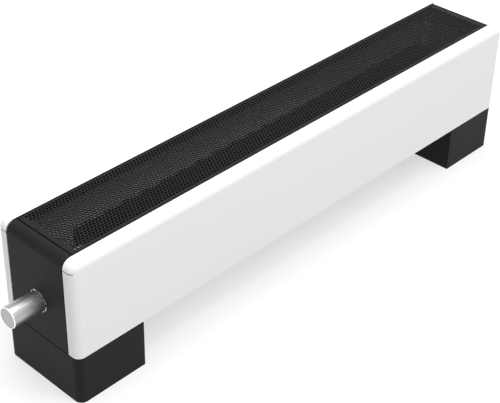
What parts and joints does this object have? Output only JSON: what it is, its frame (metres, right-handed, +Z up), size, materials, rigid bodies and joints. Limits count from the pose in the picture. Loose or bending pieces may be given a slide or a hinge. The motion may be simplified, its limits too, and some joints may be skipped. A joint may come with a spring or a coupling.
{
  "type": "baseboard heater",
  "caption": "Low floor-standing water convector with a white casing, black feet, a perforated lift-out grille and a thermostatic head on its left end.",
  "frame": {"origin": "on the floor, below the middle of the casing, at the centre of the four floor bolt holes", "axes": "+X along the casing from the thermostatic head's end to the plain end, -Y to the front, +Z up"},
  "size_m": [0.8433, 0.132, 0.199],
  "materials": {
    "white_paint": "smooth semi-matt powder coat",
    "black_paint": "matt powder coat",
    "rubber": "matt",
    "dark_coat": "dark lacquer",
    "zinc": "zinc plated",
    "copper": "bare drawn copper",
    "brass": "machined",
    "steel": "brushed",
    "chrome": "polished",
    "black_plastic": "matt"
  },
  "bodies": {
    "casing": {"front_panel": "white_paint", "rear_panel": "white_paint", "left_end_cap": "black_paint", "right_end_cap": "white_paint", "grille_strips": "rubber", "left_cradle": "dark_coat", "right_cradle": "dark_coat", "left_foot_cover": "black_paint", "right_foot_cover": "black_paint", "left_foot_bracket": "zinc", "right_foot_bracket": "zinc", "fin_pack": "dark_coat", "front_tube": "copper", "rear_tube": "copper", "return_bend": "copper", "valve_block": "brass", "block_spacers": "zinc", "block_screws": "zinc", "block_nuts": "zinc", "supply_pipe": "copper", "return_pipe": "copper", "pipe_nuts": "brass", "floor_unions": "brass", "valve_insert": "zinc", "head_base": "black_plastic", "head_nut": "chrome", "lockshield_gland": "brass", "air_vent": "brass", "foot_bolts": "zinc", "foot_nuts": "zinc", "casing_screws": "zinc"},
    "grille": {"grille": "black_paint"},
    "knob": {"thermostat_knob": "steel"},
    "stem": {"valve_pin": "steel", "sensor": "copper"},
    "lockshield": {"lockshield_spindle": "steel"},
    "bleed": {"bleed_screw": "steel"}
  },
  "joints": [
    {"name": "grille_lift", "type": "slide", "parent": "casing", "child": "grille", "axis": [0, 0, 1], "range_m": [0, 0.06]},
    {"name": "thermostat_turn", "type": "hinge", "parent": "casing", "child": "knob", "pos_m": [-0.42, 0, 0.1165], "axis": [1, 0, 0], "range_deg": [-135, 135]},
    {"name": "stem_push", "type": "slide", "parent": "casing", "child": "stem", "axis": [1, 0, 0], "range_m": [-0.001, 0.001]},
    {"name": "lockshield_turn", "type": "hinge", "parent": "casing", "child": "lockshield", "pos_m": [-0.3445, 0.025, 0.15], "axis": [0, 0, 1], "range_deg": [0, 720]},
    {"name": "bleed_turn", "type": "hinge", "parent": "casing", "child": "bleed", "pos_m": [-0.338, -0.0155, 0.155], "axis": [0, 0, 1], "range_deg": [0, 360]}
  ],
  "couplings": [
    {"joint": "stem_push", "follows": "thermostat_turn", "m_per_rad": 0.000424}
  ]
}
